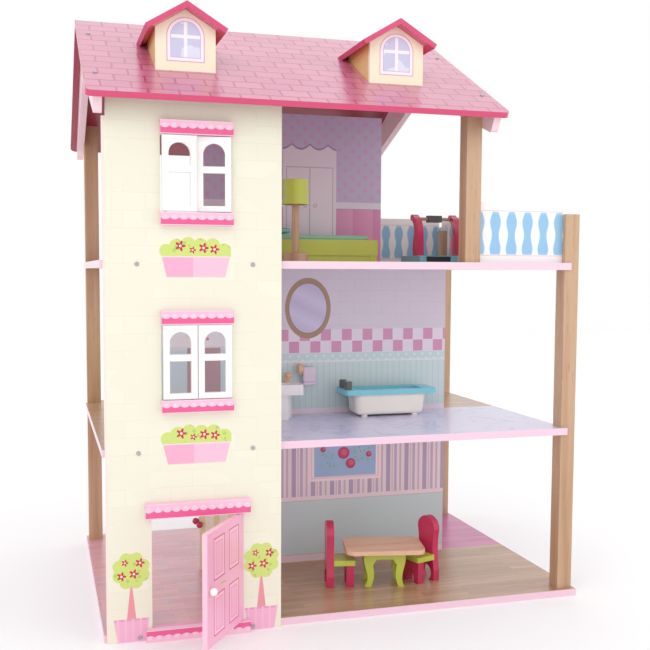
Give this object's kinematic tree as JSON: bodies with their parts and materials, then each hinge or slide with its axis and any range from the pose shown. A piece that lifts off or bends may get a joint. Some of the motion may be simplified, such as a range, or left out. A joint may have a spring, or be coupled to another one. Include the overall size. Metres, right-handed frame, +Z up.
{
  "type": "dollhouse",
  "caption": "Tall wooden dollhouse with printed rooms on both sides, hinged door and casement windows, pitched roof with dormers, balcony and loose furniture.",
  "frame": {"origin": "centre of the underside of the base board, between its left and right edges and its front and rear edges", "axes": "+X along the front from the door tower to the balcony, +Y from front to rear, +Z up"},
  "size_m": [0.621, 0.5465, 0.745],
  "materials": {
    "pale_pink_paint": "satin painted birch plywood",
    "cream_paint": "printed and varnished plywood",
    "printed_wall": "printed plywood",
    "beech_wood": "clear satin varnish",
    "magenta_paint": "printed plywood with painted edges",
    "blue_print": "printed plywood",
    "pink_paint": "printed plywood",
    "white_paint": "satin paint on wood",
    "steel": "zinc plated",
    "crimson_paint": "satin paint",
    "green_paint": "satin paint",
    "teal_paint": "satin paint",
    "grey_paint": "satin paint",
    "mint_fabric": "soft woven cotton"
  },
  "bodies": {
    "house": {"base_floor": "pale_pink_paint", "middle_floor": "pale_pink_paint", "upper_floor": "pale_pink_paint", "front_facade": "cream_paint", "ground_wall": "printed_wall", "middle_wall": "printed_wall", "attic_wall": "printed_wall", "rear_left_post": "beech_wood", "front_right_post": "beech_wood", "rear_right_post": "beech_wood", "front_roof_post": "beech_wood", "rear_roof_post": "beech_wood", "front_roof_panel": "magenta_paint", "rear_roof_panel": "magenta_paint", "left_gable_truss": "cream_paint", "right_gable_truss": "cream_paint", "left_dormer_front": "cream_paint", "left_dormer_cheeks": "beech_wood", "left_dormer_roof": "magenta_paint", "right_dormer_front": "cream_paint", "right_dormer_cheeks": "beech_wood", "right_dormer_roof": "magenta_paint", "front_balustrade": "blue_print", "rear_balustrade": "blue_print", "side_balustrade": "blue_print", "door_lintel": "pink_paint", "door_threshold": "pink_paint", "middle_window_rails": "pink_paint", "upper_window_rails": "pink_paint", "hinge_pins": "steel", "facade_screws": "steel", "roof_screws": "steel", "post_screws": "steel", "roll_holder": "beech_wood"},
    "door": {"door_leaf": "pink_paint", "door_knob": "white_paint"},
    "middle_left_casement": {"middle_left_sash": "white_paint"},
    "middle_right_casement": {"middle_right_sash": "white_paint"},
    "upper_left_casement": {"upper_left_sash": "white_paint"},
    "upper_right_casement": {"upper_right_sash": "white_paint"},
    "left_chair": {"left_chair_frame": "crimson_paint", "left_chair_seat": "green_paint"},
    "right_chair": {"right_chair_frame": "crimson_paint", "right_chair_seat": "green_paint"},
    "table": {"table_top": "beech_wood", "table_legs": "green_paint"},
    "bathtub": {"bathtub_shell": "white_paint", "bathtub_rim": "teal_paint", "bathtub_taps": "grey_paint"},
    "washbasin": {"washbasin_stand": "white_paint", "washbasin_bowl": "white_paint", "washbasin_tap": "beech_wood"},
    "lamp": {"lamp_stand": "beech_wood", "lamp_shade": "green_paint"},
    "bed": {"bed_frame": "green_paint", "bed_mattress": "mint_fabric", "bed_pillow": "mint_fabric"},
    "trainer": {"trainer_base": "teal_paint", "trainer_arms": "crimson_paint", "trainer_bar": "grey_paint"}
  },
  "joints": [
    {"name": "door_hinge", "type": "hinge", "parent": "house", "child": "door", "pos_m": [-0.148, -0.2195, 0.0785], "axis": [0, 0, 1], "range_deg": [-55, 115]},
    {"name": "middle_left_casement_hinge", "type": "hinge", "parent": "house", "child": "middle_left_casement", "pos_m": [-0.2315, -0.2195, 0.32025], "axis": [0, 0, -1], "range_deg": [-80, 110]},
    {"name": "middle_right_casement_hinge", "type": "hinge", "parent": "house", "child": "middle_right_casement", "pos_m": [-0.1605, -0.2195, 0.32025], "axis": [0, 0, 1], "range_deg": [-80, 110]},
    {"name": "upper_left_casement_hinge", "type": "hinge", "parent": "house", "child": "upper_left_casement", "pos_m": [-0.2315, -0.2195, 0.53125], "axis": [0, 0, -1], "range_deg": [-80, 110]},
    {"name": "upper_right_casement_hinge", "type": "hinge", "parent": "house", "child": "upper_right_casement", "pos_m": [-0.1605, -0.2195, 0.53125], "axis": [0, 0, 1], "range_deg": [-72, 118]},
    {"name": "left_chair_slide", "type": "slide", "parent": "house", "child": "left_chair", "axis": [-1, 0, 0], "range_m": [0, 0.06]},
    {"name": "right_chair_slide", "type": "slide", "parent": "house", "child": "right_chair", "axis": [1, 0, 0], "range_m": [0, 0.06]},
    {"name": "table_lift", "type": "slide", "parent": "house", "child": "table", "axis": [0, 0, 1], "range_m": [0, 0.08]},
    {"name": "bathtub_lift", "type": "slide", "parent": "house", "child": "bathtub", "axis": [0, 0, 1], "range_m": [0, 0.1]},
    {"name": "washbasin_lift", "type": "slide", "parent": "house", "child": "washbasin", "axis": [0, 0, 1], "range_m": [0, 0.1]},
    {"name": "lamp_lift", "type": "slide", "parent": "house", "child": "lamp", "axis": [0, 0, 1], "range_m": [0, 0.06]},
    {"name": "bed_lift", "type": "slide", "parent": "house", "child": "bed", "axis": [0, 0, 1], "range_m": [0, 0.08]},
    {"name": "trainer_lift", "type": "slide", "parent": "house", "child": "trainer", "axis": [0, 0, 1], "range_m": [0, 0.08]}
  ]
}
